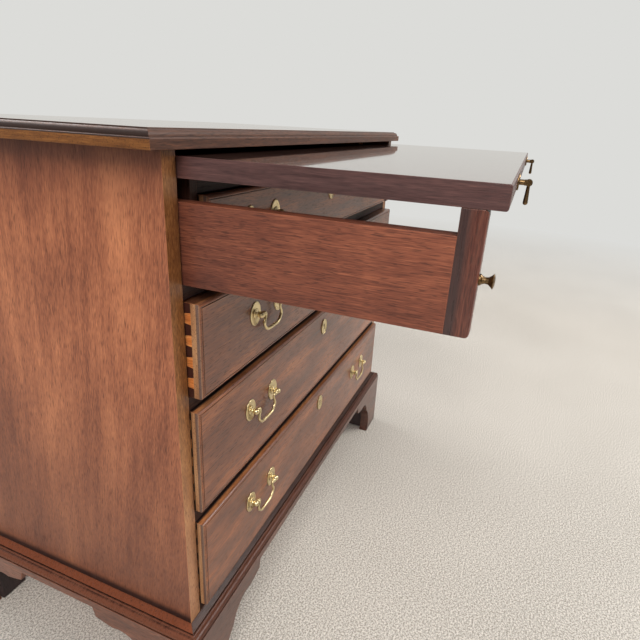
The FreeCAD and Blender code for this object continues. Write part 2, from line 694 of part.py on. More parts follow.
def bail(centre):
    """Swan-neck bail that hangs from pins in its two posts."""
    pivot = centre - Y_AXIS * POST_REACH
    end_x = POST_SPREAD / 2 - POST_BALL_R - BAIL_END_GAP
    right = [
        (end_x, 0),
        (BAIL_NECK_X, 0),
        (BAIL_NECK_X, BAIL_NECK_DROP),
        (BAIL_BELLY_X, BAIL_BELLY_DROP),
        (BAIL_FLAT_X, BAIL_DROP),
    ]
    corners = right + [(-x, drop_by) for x, drop_by in reversed(right)]
    points = [pivot + X_AXIS * x - Z_AXIS * drop_by for x, drop_by in corners]
    pin_l = 2 * (POST_BALL_R + BAIL_END_GAP)
    pins = [rod(points[0], X_AXIS, BAIL_PIN_R, pin_l), rod(points[-1], -X_AXIS, BAIL_PIN_R, pin_l)]
    return bent_bar(points, BAIL_R).fuse(pins)


def bent_bar(points, radius):
    """Round bar along straight runs joined by tangent arcs."""
    edges = []
    here = points[0]
    for before, corner, after in zip(points, points[1:], points[2:]):
        into = (corner - before).normalize()
        out = (after - corner).normalize()
        reach = BAIL_BEND * min((corner - before).Length, (after - corner).Length)
        bend_r = reach / math.tan(into.getAngle(out) / 2)
        bisector = (out - into).normalize()
        via = corner + bisector * (math.hypot(reach, bend_r) - bend_r)
        edges.append(Part.LineSegment(here, corner - into * reach).toShape())
        here = corner + out * reach
        edges.append(Part.Arc(corner - into * reach, via, here).toShape())
    edges.append(Part.LineSegment(here, points[-1]).toShape())
    start = (points[1] - points[0]).normalize()
    ring = Part.Wire(Part.makeCircle(radius, points[0], start))
    return Part.Wire(edges).makePipeShell([ring], True, True)


def keyhole(at, depth):
    """Round hole with a slot under it, cut from at towards the back."""
    slot = box(at.x - SLOT_W / 2, at.x + SLOT_W / 2, at.y, at.y + depth, at.z - SLOT_L, at.z)
    return rod(at, Y_AXIS, KEYHOLE_R, depth).fuse(slot)


def lock(at):
    """Oval escutcheon on the front and the lock case behind it."""
    middle = at - Z_AXIS * (SLOT_L / 3)
    plate = oval_plate(PLATE_W, PLATE_H, PLATE_T, middle).cut(keyhole(at - Y_AXIS * PLATE_T, PLATE_T))
    rear_y = at.y + FRONT_T
    case = box(-LOCK_W / 2, LOCK_W / 2, rear_y, rear_y + LOCK_T, middle.z - LOCK_H / 2, middle.z + LOCK_H / 2)
    return [plate, case]


def make_drawers():
    wide = INNER_X - FRONT_GAP
    narrow = TOP_ROW_X - FRONT_GAP
    make_drawer("lower_drawer", wide, LOWER_Z, LOWER_FRONT_H, 0.0, LOWER_ROSETTE_DOWN, PLATE_UP)
    make_drawer("middle_drawer", wide, MIDDLE_Z, MIDDLE_FRONT_H, 0.0, MIDDLE_ROSETTE_DOWN, PLATE_UP)
    make_drawer("upper_drawer", wide, UPPER_Z, UPPER_FRONT_H, UPPER_AJAR, UPPER_ROSETTE_DOWN, PLATE_UP_HIGH)
    make_drawer("top_drawer", narrow, TOP_ROW_Z, TOP_FRONT_H, 0.0, TOP_ROSETTE_DOWN, PLATE_UP_HIGH)


def main():
    make_case()
    make_base_moulding()
    make_plinth()
    make_slide()
    make_loper("left", -1, LOPER_OUT)
    make_loper("right", 1, 0.0)
    make_drawers()
    os.makedirs("parts", exist_ok=True)
    for name, shape in NODES.items():
        shape.translate(Y_AXIS * Y_SHIFT)
        shape.exportStep(os.path.join("parts", name + ".step"))


main()
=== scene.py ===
"""A bachelor's chest with a pull-out slide and lopers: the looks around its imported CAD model."""

import math

import bmesh
import bpy
from mathutils import Matrix, Vector


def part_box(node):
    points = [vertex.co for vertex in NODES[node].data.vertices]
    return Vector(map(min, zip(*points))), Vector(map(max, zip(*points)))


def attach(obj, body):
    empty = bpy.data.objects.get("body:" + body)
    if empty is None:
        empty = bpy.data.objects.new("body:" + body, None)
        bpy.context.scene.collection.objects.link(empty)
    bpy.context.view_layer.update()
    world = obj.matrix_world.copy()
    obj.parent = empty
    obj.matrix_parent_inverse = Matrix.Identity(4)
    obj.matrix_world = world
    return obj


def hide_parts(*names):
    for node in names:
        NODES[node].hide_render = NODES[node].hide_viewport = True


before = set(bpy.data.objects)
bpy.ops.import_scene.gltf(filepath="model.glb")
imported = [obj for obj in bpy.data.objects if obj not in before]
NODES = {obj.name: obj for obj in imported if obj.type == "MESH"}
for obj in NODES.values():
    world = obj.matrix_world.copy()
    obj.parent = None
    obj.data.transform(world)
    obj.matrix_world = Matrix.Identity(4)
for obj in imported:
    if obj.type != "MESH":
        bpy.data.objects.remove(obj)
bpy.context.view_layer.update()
MM = 0.001
X, Y, Z = 0, 1, 2
DRAWERS = ("lower", "middle", "upper", "top")
HANDS = ("left", "right")


def srgb(red, green, blue):
    """A colour written as it looks, 0 to 255, as the linear one that the shaders take."""
    def linear(value):
        share = value / 255
        return share / 12.92 if share <= 0.04045 else ((share + 0.055) / 1.055) ** 2.4

    return (linear(red), linear(green), linear(blue), 1.0)


def scaled(colour, share):
    """A colour made darker, or lighter by a share above 1."""
    return tuple(share * part for part in colour[:3]) + (1.0,)


# ---- shader graphs ----
MIX_FIRST, MIX_SECOND, MIX_RESULT = 6, 7, 2     # places of the colours among a Mix node's sockets
FACE_SOFT = 0.2             # how much squarer a face is where it counts in full
SQUARE = 0.995              # a face this square to an axis always counts in full


class Graph:
    """A node tree under construction, with short calls for its nodes and links."""

    def __init__(self, tree):
        self.tree = tree

    def node(self, kind, settings=None, **inputs):
        made = self.tree.nodes.new(kind)
        for name, value in (settings or {}).items():
            setattr(made, name, value)
        for name, value in inputs.items():
            self.put(made.inputs[name.replace("_", " ")], value)
        return made

    def put(self, socket, value):
        if isinstance(value, bpy.types.NodeSocket):
            self.tree.links.new(value, socket)
        else:
            socket.default_value = value

    def vector_math(self, operation, *values):
        made = self.node("ShaderNodeVectorMath", {"operation": operation})
        for socket, value in zip(made.inputs, values):
            self.put(socket, value)
        return made

    def math(self, operation, first, second=0.0):
        made = self.node("ShaderNodeMath", {"operation": operation})
        self.put(made.inputs[0], first)
        self.put(made.inputs[1], second)
        return made.outputs[0]

    def span(self, value, low, high, to_low=0.0, to_high=1.0):
        """A value's place between low and high, clamped, as a value from to_low to to_high."""
        made = self.node("ShaderNodeMapRange", {"clamp": True})
        for index, item in enumerate((value, low, high, to_low, to_high)):
            self.put(made.inputs[index], item)
        return made.outputs[0]

    def ramp(self, value, stops):
        made = self.node("ShaderNodeValToRGB", Fac=value)
        band = made.color_ramp
        while len(band.elements) < len(stops):
            band.elements.new(0.5)
        for element, (place, colour) in zip(band.elements, stops):
            element.position = place
            element.color = colour
        return made.outputs["Color"]

    def mix(self, share, first, second):
        made = self.node("ShaderNodeMix", {"data_type": "RGBA"})
        self.put(made.inputs[0], share)
        self.put(made.inputs[MIX_FIRST], first)
        self.put(made.inputs[MIX_SECOND], second)
        return made.outputs[MIX_RESULT]

    def choose(self, share, first, second):
        """The first shader where share is 0 and the second where it is 1."""
        made = self.node("ShaderNodeMixShader")
        for socket, value in zip(made.inputs, (share, first, second)):
            self.put(socket, value)
        return made.outputs[0]


class Shader(Graph):
    """A material under construction, in the coordinates of the object that wears it."""

    def __init__(self, name):
        self.material = bpy.data.materials.new(name)
        self.material.use_nodes = True
        super().__init__(self.material.node_tree)
        self.bsdf = self.tree.nodes["Principled BSDF"]
        source = self.node("ShaderNodeTexCoord")
        self.coords = source.outputs["Object"]
        self.place = self.node("ShaderNodeSeparateXYZ", Vector=self.coords)
        self.facing = self.node("ShaderNodeSeparateXYZ", Vector=source.outputs["Normal"])

    def moved(self, scale, shift=(0, 0, 0), source=None):
        mapping = self.node("ShaderNodeMapping", Scale=scale, Location=shift)
        self.put(mapping.inputs["Vector"], source or self.coords)
        return mapping.outputs["Vector"]

    def noise(self, vector, detail=2.0, roughness=0.5):
        return self.node("ShaderNodeTexNoise", Vector=vector, Scale=1.0, Detail=detail,
                         Roughness=roughness).outputs["Fac"]

    def on_face(self, face, least):
        """How much a face counts as one along X or Y, either way, or as one that looks up for Z:
        not at all until it is square to that axis by least."""
        part = self.facing.outputs[face]
        if face != "Z":
            part = self.math("ABSOLUTE", part)
        return self.span(part, least, min(least + FACE_SOFT, SQUARE))

    def finish(self, **inputs):
        for name, value in inputs.items():
            self.put(self.bsdf.inputs[name.replace("_", " ")], value)
        return self.material


# ---- wood ----
# Each layer of figure: rate across the grain, rate along it, its weight and its detail.
PLAIN = {"broad": (15, 3.2, 1.0, 3), "line": (120, 6, 0.35, 2), "streak": (760, 70, 0.55, 2),
         "fibre": (1500, 130, 0.6, 1), "cross": (18, 10, 0.3, 2)}
RIBBON = {"broad": (36, 2.6, 0.5, 2), "streak": (880, 20, 0.6, 2), "fibre": (1600, 60, 0.6, 1),
          "cross": (22, 30, 0.2, 1)}
FLAME = {"broad": (26, 6, 0.8, 2), "streak": (300, 12, 0.4, 2), "fibre": (1200, 60, 0.4, 1),
         "cross": (10, 12, 0.25, 1)}
QUIET = {"broad": (30, 3, 0.6, 2), "streak": (360, 18, 0.5, 2), "fibre": (1100, 70, 0.5, 1),
         "cross": (16, 26, 0.1, 1)}
MIDDLE = 0.5                # mean of each layer's noise, and of the level of figure
SEED_SHIFT = (1.37, 2.11, 0.73)     # how far one seed's figure lies from the next one's
WANDER_RATE = (5, 2.4)      # rate of the grain's wander, across and along
SWAY = 0.008                # how far the grain wanders from a straight line, in metres
PORE_RATE = (900, 90)       # rate of the pores, across and along
LAYER_ROUGHNESS = 0.6
PORE_ROUGHNESS = 0.4
PORE_START, PORE_WHOLE = 0.58, 0.68     # levels of noise where a pore starts and is whole
SHADE_LEVELS = (0.2, 0.5, 0.8)      # levels of figure at the dark, middle and light shades
SEEDS = 97

SAMPLES = 6                 # of each bevel and occlusion node
ARRIS_REACH = 0.0011        # how far the lighter arris, worn and with a painted highlight, reaches from an edge, in metres
ARRIS_TURN = (0.99, 0.86)   # how the eased normal agrees with the true one, from plain to fully lightened
ARRIS_WEAR_AND_HIGHLIGHT = 0.4            # share of the worn, painted-highlight colour on the sharpest arris
CORNER_REACH = 0.028        # how far painted shade reaches from a corner, in metres
CORNER_LIGHT = (0.75, 0.15)         # how open a place is, from unshaded to fully in painted shade
# painted shade where corners hem in the light
CORNER_SHADE = srgb(34, 16, 12)
QUIRK_REACH = 0.005         # how far painted shade and dirt reach from the walls of a narrow quirk
QUIRK_LIGHT = (0.7, 0.25)
# painted shade, with dirt, in narrow quirks
QUIRK_SHADE_AND_DIRT = srgb(16, 7, 6)
QUIRK_GLOOM = 0.95          # share of painted shade and dirt in the tightest quirk
PORE_SHADE = 0.4            # a pore's shade, as a share of the dark one
RUBBED_AND_LIT_SHADE = 1.25         # a worn arris's shade with its painted highlight, as a share of the light one
RELIEF = 0.00006            # height of the grain's relief, in metres
RELIEF_STRENGTH = 0.5
PORE_HEIGHT = -0.7          # shares of the relief
FIBRE_HEIGHT = 0.25
STREAK_LEVELS = (0.3, 0.7)  # levels of noise at the smoothest and roughest streak
STREAK_GLOSS = (-0.05, 0.08)        # how far these are from a board's roughness
PORE_ROUGHNESS_ADDED = 0.1
LEVEL_LEAST = 0.95          # how square to Z a rubbed face has to be


def along(axis, across_rate, along_rate):
    """Texture scales with one slow axis, the way that the grain runs."""
    return tuple(along_rate if index == axis else across_rate for index in (X, Y, Z))


def figure(s, axis, seed, layers, lean=0.0):
    """Noise layers of one board: the level of its figure, and its streaks, fibres and pores."""
    shift = tuple(seed * part for part in SEED_SHIFT)
    tilted = s.node("ShaderNodeMapping", Vector=s.coords, Rotation=(lean, 0.0, 0.0)).outputs["Vector"]
    wander = s.node("ShaderNodeTexNoise", Vector=s.moved(along(axis, *WANDER_RATE), shift), Scale=1.0,
                    Detail=1.0)
    sway = tuple(0.0 if index == axis else SWAY for index in (X, Y, Z))
    flow = s.vector_math("MULTIPLY_ADD", wander.outputs["Color"], sway, tilted).outputs[0]
    level = MIDDLE
    made = {}
    for layer, (across, run, weight, detail) in layers.items():
        made[layer] = s.noise(s.moved(along(axis, across, run), shift, flow), detail, LAYER_ROUGHNESS)
        level = s.math("ADD", s.math("MULTIPLY", s.math("SUBTRACT", made[layer], MIDDLE), weight), level)
    pits = s.noise(s.moved(along(axis, *PORE_RATE), shift, flow), 1.0, PORE_ROUGHNESS)
    return level, made["streak"], made["fibre"], s.span(pits, PORE_START, PORE_WHOLE)


def shaded(s, level, shades):
    """Colour of wood at a level of figure: dark, middle and light."""
    return s.ramp(level, list(zip(SHADE_LEVELS, shades)))


def worn_lit_and_shaded(s, colour, rubbed, gloom):
    """A colour with arrises lighter, worn and as a painted highlight, painted shade in corners, painted
    shade and dirt in quirks, and the eased normal.
    """
    eased = s.node("ShaderNodeBevel", {"samples": SAMPLES}, Radius=ARRIS_REACH).outputs[0]
    flat = s.node("ShaderNodeNewGeometry").outputs["Normal"]
    turn = s.vector_math("DOT_PRODUCT", eased, flat).outputs["Value"]
    colour = s.mix(s.span(turn, *ARRIS_TURN, 0.0, ARRIS_WEAR_AND_HIGHLIGHT), colour, rubbed)
    near = s.node("ShaderNodeAmbientOcclusion", {"samples": SAMPLES}, Distance=CORNER_REACH)
    colour = s.mix(s.span(near.outputs["AO"], *CORNER_LIGHT, 0.0, gloom), colour, CORNER_SHADE)
    tight = s.node("ShaderNodeAmbientOcclusion", {"samples": SAMPLES}, Distance=QUIRK_REACH)
    colour = s.mix(s.span(tight.outputs["AO"], *QUIRK_LIGHT, 0.0, QUIRK_GLOOM), colour, QUIRK_SHADE_AND_DIRT)
    return colour, eased


def stain(colour, strength, face, way, start, whole, least=0.6):
    """A colour that gains strength from start to whole along an axis, on faces of one kind that
    are square to theirs by least. It serves for changes of tone and for painted shade, shadow and
    reflection."""
    return colour[:3] + (strength,), face, way, start, whole, least


def wood(name, axis, shades, seed, layers, gloss=0.3, coat=0.2, haze=0.08, pores=0.5, specular=0.5,
         gloom=0.5, lean=0.0, front=None, sides=None, tops=None, stains=(), rub=0.0):
    """Polished wood: figure, dark pores, arrises lighter, worn and as a painted highlight, painted shade
    in corners, and painted shade with dirt in quirks.

    front, sides and tops are the shades and the grain's axis of faces along Y, X and up, and how
    square to it such a face has to be. stains come from stain(); some are painted shade, shadow and
    reflection. lean turns the grain about X, in radians. gloom is the share of painted shade in corners.
    rub is the coat that level faces alone have above the rest, and how much smoother they are."""
    s = Shader(name)
    level, streak, fibre, pore = figure(s, axis, seed, layers, lean)
    colour = shaded(s, level, shades)
    for face, look in (("Y", front), ("X", sides), ("Z", tops)):
        if look:
            face_shades, face_axis, least = look
            face_level = level if face_axis == axis else figure(s, face_axis, seed, layers)[0]
            colour = s.mix(s.on_face(face, least), colour, shaded(s, face_level, face_shades))
    for tint, face, way, start, whole, least in stains:
        share = s.math("MULTIPLY", s.span(s.place.outputs[way], start, whole), s.on_face(face, least))
        colour = s.mix(s.math("MULTIPLY", share, tint[3]), colour, tint[:3] + (1.0,))
    colour = s.mix(s.math("MULTIPLY", pore, pores), colour, scaled(shades[0], PORE_SHADE))
    colour, eased = worn_lit_and_shaded(s, colour, scaled(shades[2], RUBBED_AND_LIT_SHADE), gloom)

    height = s.math("ADD", s.math("MULTIPLY", pore, PORE_HEIGHT), s.math("MULTIPLY", fibre, FIBRE_HEIGHT))
    bumped = s.node("ShaderNodeBump", Height=height, Distance=RELIEF, Strength=RELIEF_STRENGTH, Normal=eased)
    streaked = s.span(streak, *STREAK_LEVELS, *(gloss + part for part in STREAK_GLOSS))
    rough = s.math("ADD", streaked, s.math("MULTIPLY", pore, PORE_ROUGHNESS_ADDED))
    if rub:
        level_face = s.on_face("Z", LEVEL_LEAST)
        rough = s.math("MULTIPLY", rough, s.span(level_face, 0.0, 1.0, 1.0, 1.0 - rub))
        coat = s.span(level_face, 0.0, 1.0, coat, coat + rub)
    return s.finish(Base_Color=colour, Roughness=rough, Coat_Weight=coat, Coat_Roughness=haze,
                    Specular_IOR_Level=specular, Normal=bumped.outputs["Normal"])


def dress(node, material):
    """Give a CAD node one material throughout."""
    data = NODES[node].data
    if not data.materials:
        data.materials.append(material)
    for index in range(len(data.materials)):
        data.materials[index] = material


def dress_wood(nodes, kind, axis, shades, layers, **looks):
    """Wood for each node, with a seed from its name, so that boards show figures of their own."""
    for node in nodes:
        seed = 1 + sum(ord(letter) * (place + 1) for place, letter in enumerate(node)) % SEEDS
        dress(node, wood(f"{kind}_{node}", axis, shades, seed, layers, **looks))


# Shades of wood: dark, middle and light.
SIDE = (srgb(104, 54, 35), srgb(154, 91, 61), srgb(191, 122, 83))
STILE = (srgb(74, 38, 14), srgb(134, 84, 42), srgb(182, 130, 78))
TOP = (srgb(46, 28, 22), srgb(78, 50, 39), srgb(112, 74, 56))
TOP_EDGE = (srgb(44, 26, 20), srgb(80, 50, 36), srgb(118, 76, 54))
FASCIA = (srgb(64, 34, 12), srgb(104, 62, 26), srgb(142, 92, 44))
# rails and partitions, dark as painted shade
SHADOWED_RAIL = (srgb(26, 13, 9), srgb(44, 22, 14), srgb(66, 35, 23))
FRONT = (srgb(66, 32, 20), srgb(113, 65, 41), srgb(168, 100, 58))
FRONT_END = (srgb(104, 68, 42), srgb(156, 110, 74), srgb(190, 146, 106))
# the drawer fronts' tops, lighter as painted light from above
LIT_LEDGE = (srgb(108, 58, 28), srgb(162, 100, 58), srgb(200, 140, 92))
SLIDE = (srgb(50, 28, 28), srgb(80, 52, 50), srgb(110, 74, 68))
# the slide's top, lighter as a painted reflection of the pale room
SLIDE_TOP_REFLECTION = (srgb(62, 40, 36), srgb(96, 68, 61), srgb(124, 92, 82))
LOPER = (srgb(72, 34, 24), srgb(120, 65, 46), srgb(162, 95, 66))
LOPER_END = (srgb(56, 24, 19), srgb(94, 47, 36), srgb(134, 74, 52))
LOPER_SIDE = (srgb(50, 20, 16), srgb(86, 44, 34), srgb(124, 72, 54))
BASE = (srgb(46, 26, 20), srgb(84, 50, 38), srgb(126, 82, 62))
BASE_SIDE = (srgb(52, 26, 18), srgb(106, 62, 44), srgb(156, 100, 74))
# the base moulding's sloping band on the sides, lighter as painted light
LIT_BASE_BAND = (srgb(68, 32, 16), srgb(118, 61, 36), srgb(168, 98, 60))
OAK = (srgb(140, 70, 24), srgb(196, 112, 48), srgb(232, 154, 84))
BACK = (srgb(70, 46, 28), srgb(118, 82, 52), srgb(152, 112, 76))
# the foot blocks, dark as painted shade inside the feet
SHADOWED_FOOT_BLOCK = (srgb(30, 22, 22), srgb(48, 36, 36), srgb(70, 52, 48))

# Colours of bands, with the painted shade, shadow and reflection among them marked.
# painted shade under the top board's overhang
SIDE_SHADE_UNDER_TOP = srgb(78, 36, 24)
# painted shade toward the base
SIDE_SHADE_LOW = srgb(68, 40, 32)
# painted shadow just above the base moulding
SIDE_FOOT_SHADOW = srgb(22, 12, 14)
# painted shade on the front edges toward the top
STILE_SHADE_HIGH = srgb(74, 36, 26)
STILE_LOW = srgb(176, 130, 100)
# painted reflection on a drawer front's rounded nose
NOSE_REFLECTION = srgb(74, 60, 60)
BEAD_LINE = srgb(52, 20, 14)
# painted shadow on the ajar drawer's top, toward the case
LEDGE_SHADOW = srgb(56, 28, 20)
# painted shadow where a closed drawer meets the case
GAP_SHADOW = srgb(14, 6, 4)
BAR_NEAR = srgb(60, 26, 20)
CAP_BACK = srgb(48, 34, 34)

CASE_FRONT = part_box("side_panel_left")[0][Y]
TOP_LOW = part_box("top_board")[0][Z]
MOULD_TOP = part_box("base_moulding")[1][Z]
MOULD_PROUD = 19.6          # the base moulding beyond the case, in millimetres
MOULD_BAND = 8.8            # its sloping band next to the case
MOULD_INSIDE = -1.0         # where the band's shade starts, inside the case
MOULD_SOFT = 0.6            # how wide a change of shade is
MOULD_LEAST = 0.2           # how square the band has to be to an axis
CASE_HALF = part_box("base_moulding")[1][X] - MOULD_PROUD * MM
BAR_SHADE_START = -0.26     # where the loper's bar starts to darken toward the case, in metres
CAP_BACK_START, CAP_BACK_WHOLE = 10, 15         # behind a loper's face, in millimetres
TOP_LINE_START, TOP_LINE_WHOLE = 8.4, 9.0       # where the top's ends turn dark, above its bottom
# Each shade of a drawer front: its colour, its strength, the faces that have it, and how far
# # behind the drawer's face it starts and is whole, in millimetres. The first and last rows are a
# # painted reflection on the rounded nose, on the ends and more faintly on the top; the second gives
# # the ends their own shade again nearest the face; the third darkens the ends behind the bead.
FRONT_SHADES = (
    (NOSE_REFLECTION, 0.8, "X", 5.6, 4.6),
    (FRONT_END[1], 0.7, "X", 2.2, 1.4),
    (BEAD_LINE, 1.0, "X", 11.1, 11.5),
    (NOSE_REFLECTION, 0.4, "Z", 5.0, 3.0),
)
# painted shadow on the back of the ajar drawer's top
AJAR_SHADOW = (LEDGE_SHADOW, 0.8, "Z", 4.0, 7.0)
GAP_SHADOW_FACES = (("X", 2.2, 1.0), ("Z", 4.5, 2.0))     # painted shadow where a closed drawer meets the case: its faces, and the same two ahead of the case


def below_top(depth):
    """Height of a place below the top board, from millimetres."""
    return TOP_LOW - depth * MM


def above_moulding(height):
    """Height of a place above the base moulding, from millimetres."""
    return MOULD_TOP + height * MM


def ahead_of_case(reach):
    """Place along Y ahead of the case's front, from millimetres."""
    return CASE_FRONT - reach * MM


def side_stains():
    """Painted shade on the side panels under the top board and toward the base, and a painted shadow
    just above the base moulding; on their front edges, painted shade toward the top and a lighter tone
    toward the base.
    """
    return [stain(SIDE_SHADE_UNDER_TOP, 0.6, "X", "Z", below_top(90), below_top(4)),
            stain(SIDE_SHADE_LOW, 0.5, "X", "Z", above_moulding(360), above_moulding(20)),
            stain(SIDE_FOOT_SHADOW, 0.95, "X", "Z", above_moulding(15), above_moulding(6)),
            stain(STILE_SHADE_HIGH, 0.3, "Y", "Z", below_top(160), below_top(20)),
            stain(STILE_LOW, 0.55, "Y", "Z", above_moulding(330), above_moulding(80))]


def front_stains(which):
    """Colours on the ends and top of a drawer front, with a painted reflection on its rounded nose.
    The upper drawer stands ajar, with a painted shadow on the back of its top, and the others are
    black with painted shadow where they meet the case."""
    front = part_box(f"{which}_drawer_front")[0][Y]
    ajar = which == "upper"
    stains = [stain(colour, strength, face, "Y", front + start * MM, front + whole * MM)
              for colour, strength, face, start, whole in FRONT_SHADES + ((AJAR_SHADOW,) if ajar else ())]
    if not ajar:
        stains += [stain(GAP_SHADOW, 1.0, face, "Y", ahead_of_case(start), ahead_of_case(whole))
                   for face, start, whole in GAP_SHADOW_FACES]
    return stains


def moulding_stains():
    """Colours of the base moulding's sloping band and of what lies beyond it: on the sides the band
    is painted lighter, as lit, and on the front it takes the dark shade.
    """
    stains = []
    for tint, start in ((LIT_BASE_BAND[1], MOULD_INSIDE), (BASE_SIDE[1], MOULD_BAND)):
        for way in (-1, 1):
            stains.append(stain(tint, 0.9, "X", "X", way * (CASE_HALF + start * MM),
                                way * (CASE_HALF + (start + MOULD_SOFT) * MM), MOULD_LEAST))
    for tint, start in ((BASE[0], MOULD_INSIDE), (BASE[1], MOULD_BAND)):
        stains.append(stain(tint, 0.8, "Y", "Y", ahead_of_case(start), ahead_of_case(start + MOULD_SOFT),
                            MOULD_LEAST))
    return stains


def cap_band(hand):
    """Dark shade on the side of a loper's front block, behind its face."""
    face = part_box(f"loper_front_{hand}")[0][Y]
    return stain(CAP_BACK, 0.8, "X", "Y", face + CAP_BACK_START * MM, face + CAP_BACK_WHOLE * MM)


def dress_case():
    dress_wood([f"side_panel_{hand}" for hand in HANDS], "mahogany", Z, SIDE, PLAIN, gloss=0.4, coat=0.1,
               haze=0.3, specular=0.4, lean=-0.1, front=(STILE, Z, 0.6), stains=side_stains())
    top_line = stain(TOP_EDGE[0], 1.0, "X", "Z", TOP_LOW + TOP_LINE_START * MM, TOP_LOW + TOP_LINE_WHOLE * MM)
    dress_wood(["top_board"], "mahogany", X, TOP, QUIET, gloss=0.44, coat=0.05, haze=0.03, specular=0.3,
               rub=0.85, front=(TOP_EDGE, X, 0.6), sides=(FASCIA, Y, 0.9), stains=[top_line])
    dress_wood(["base_rail", "lower_rail", "middle_rail", "upper_rail", "slide_rail"], "mahogany", X, SHADOWED_RAIL,
               QUIET, gloss=0.5, coat=0.0, specular=0.2)
    dress_wood(["partitions"], "mahogany", Z, SHADOWED_RAIL, QUIET, gloss=0.5, coat=0.0, specular=0.2)
    dress_wood(["base_moulding"], "mahogany", X, BASE, QUIET, gloss=0.28, coat=0.0, specular=0.18, gloom=0.7,
               sides=(BASE_SIDE, Y, 0.5), stains=moulding_stains())
    dress_wood(["plinth_front"], "mahogany", X, BASE, QUIET, gloss=0.34)
    dress_wood(["plinth_sides"], "mahogany", Y, BASE_SIDE, QUIET, gloss=0.34)
    # dark as painted shade inside the feet
    dress_wood(["foot_blocks"], "shadowed", Z, SHADOWED_FOOT_BLOCK, QUIET, gloss=0.6, coat=0.0)
    dress_wood(["back_panel"], "oak", Z, BACK, PLAIN, gloss=0.7, coat=0.0, specular=0.2)
    dress_wood(["bottom_board", "slide_batten", "stops"], "oak", X, OAK, QUIET, gloss=0.6, coat=0.0)
    dress_wood(["runners"], "oak", Y, OAK, QUIET, gloss=0.6, coat=0.0)


def dress_drawers():
    for which in DRAWERS:
        dress_wood([f"{which}_drawer_front"], "mahogany", X, FRONT, FLAME, gloss=0.38, coat=0.5, haze=0.22,
                   specular=0.35, gloom=0.2, sides=(FRONT_END, Z, 0.9), tops=(LIT_LEDGE, X, 0.8),
                   stains=front_stains(which))
        dress_wood([f"{which}_drawer_{part}" for part in ("sides", "back", "bottom")], "oak", Y, OAK, QUIET,
                   gloss=0.6, coat=0.0)


def dress_slide_and_lopers():
    dress_wood(["slide_board"], "mahogany", Y, SLIDE, QUIET, gloss=0.34, coat=0.15, haze=0.03, rub=0.85,
               pores=0.2, front=(SLIDE, X, 0.6), tops=(SLIDE_TOP_REFLECTION, Y, 0.9))
    bar_band = stain(BAR_NEAR, 0.5, "X", "Y", BAR_SHADE_START, CASE_FRONT)
    for hand in HANDS:
        dress_wood([f"loper_bar_{hand}"], "mahogany", Y, LOPER, RIBBON, gloss=0.42, coat=0.1, haze=0.3,
                   specular=0.4, stains=[bar_band])
        dress_wood([f"loper_front_{hand}"], "mahogany", Z, LOPER_END, QUIET, sides=(LOPER_SIDE, Z, 0.6),
                   stains=[cap_band(hand)])


# ---- brass ----
DENT_RATE = 220
DENT_DEPTH = 0.00003        # in metres
DENT_STRENGTH = 0.25
PATINA_RATE = 60
PATINA_LEVELS = (0.3, 0.55)         # levels of noise where the brass is dullest and clean
CLEAN_SHARE = (0.8, 1.0)    # how clean it is there
NOOK_SAMPLES = 8
NOOK_REACH = 0.003          # how far dirt reaches from a nook, in metres
NOOK_LIGHT = (0.2, 0.8)     # how open a place is, from dirty to clean
NOOK_ROUGHNESS = 0.2
CLOUD_LEVELS = (0.3, 0.7)   # levels of noise at the smoothest and roughest cloud
CLOUD_GLOSS = (-0.04, 0.08)         # how far these are from the brass's roughness


def brass(name, bright, patina, roughness):
    """Old brass: bright where it is rubbed, brown where dirt stays, with faint dents."""
    s = Shader(name)
    fine = s.noise(s.moved((DENT_RATE,) * 3))
    cloud = s.noise(s.moved((PATINA_RATE,) * 3))
    nook = s.node("ShaderNodeAmbientOcclusion", {"samples": NOOK_SAMPLES}, Distance=NOOK_REACH)
    open_share = s.span(nook.outputs["AO"], *NOOK_LIGHT)
    worn = s.math("MULTIPLY", open_share, s.span(cloud, *PATINA_LEVELS, *CLEAN_SHARE))
    bumped = s.node("ShaderNodeBump", Height=fine, Distance=DENT_DEPTH, Strength=DENT_STRENGTH)
    clouded = s.span(cloud, *CLOUD_LEVELS, *(roughness + part for part in CLOUD_GLOSS))
    rough = s.math("ADD", clouded, s.math("MULTIPLY", s.math("SUBTRACT", 1.0, open_share), NOOK_ROUGHNESS))
    return s.finish(Base_Color=s.mix(worn, patina, bright), Metallic=1.0, Roughness=rough,
                    Normal=bumped.outputs["Normal"])


BRASS = brass("old_brass", srgb(222, 203, 158), srgb(112, 90, 54), 0.28)
DARK_BRASS = brass("dark_old_brass", srgb(122, 98, 68), srgb(48, 36, 24), 0.3)


def dress_fittings():
    for which in DRAWERS:
        dress(f"{which}_drawer_lock", BRASS)
    dress("slide_pulls", DARK_BRASS)
    for hand in HANDS:
        dress(f"loper_knob_{hand}", DARK_BRASS)
        dress(f"slide_drop_{hand}", DARK_BRASS)


